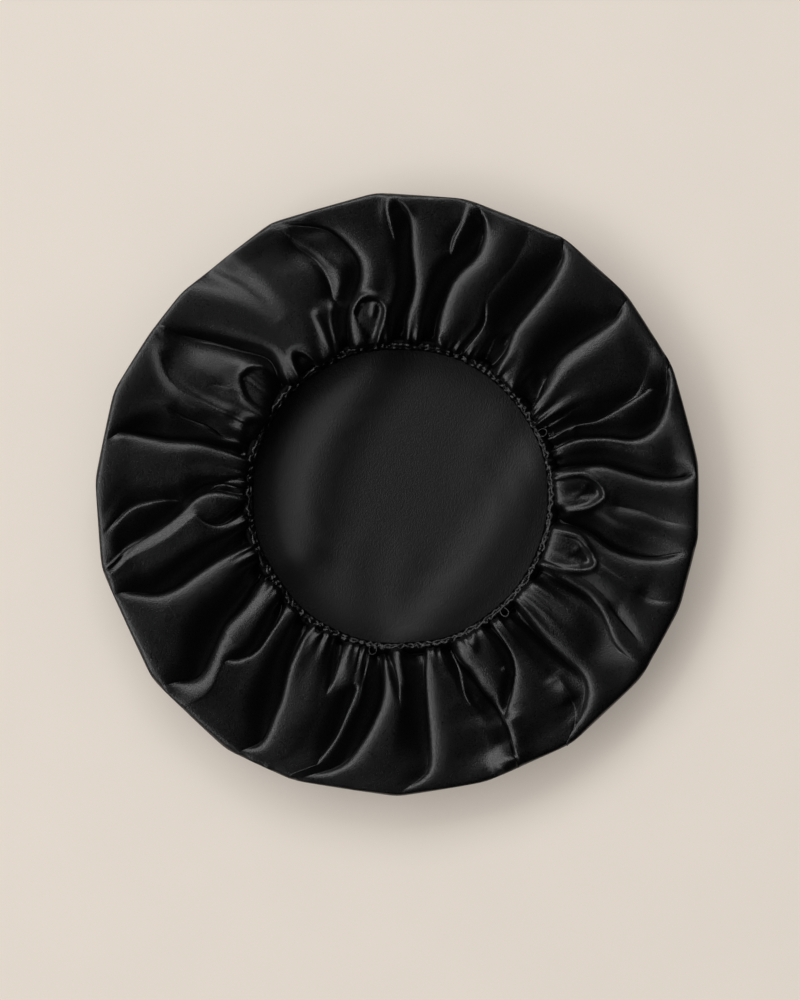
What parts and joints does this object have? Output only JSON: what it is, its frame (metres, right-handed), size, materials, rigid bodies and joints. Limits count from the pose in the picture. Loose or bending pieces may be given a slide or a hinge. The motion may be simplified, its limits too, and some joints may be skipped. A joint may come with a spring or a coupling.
{
  "type": "sleep bonnet",
  "caption": "Round satin sleep bonnet lying crown down: one disc of glossy black cloth gathered by a ruched elastic casing round its open middle, hollow inside.",
  "frame": {"origin": "middle of the crown's flat resting face, on the surface that the bonnet lies on", "axes": "+Z up, out of the opening; +X to the right and +Y up in the picture, which looks straight down"},
  "size_m": [0.3195, 0.3204, 0.0285],
  "materials": {
    "satin": "glossy black satin outside, matt dark grey twill-like reverse inside",
    "casing_satin": "glossy black satin, turned and finely ruched",
    "elastic": "black braided elastic, matt"
  },
  "bodies": {
    "root": {"satin_shell": "satin", "elastic_casing": "casing_satin", "elastic": "elastic"}
  },
  "joints": []
}
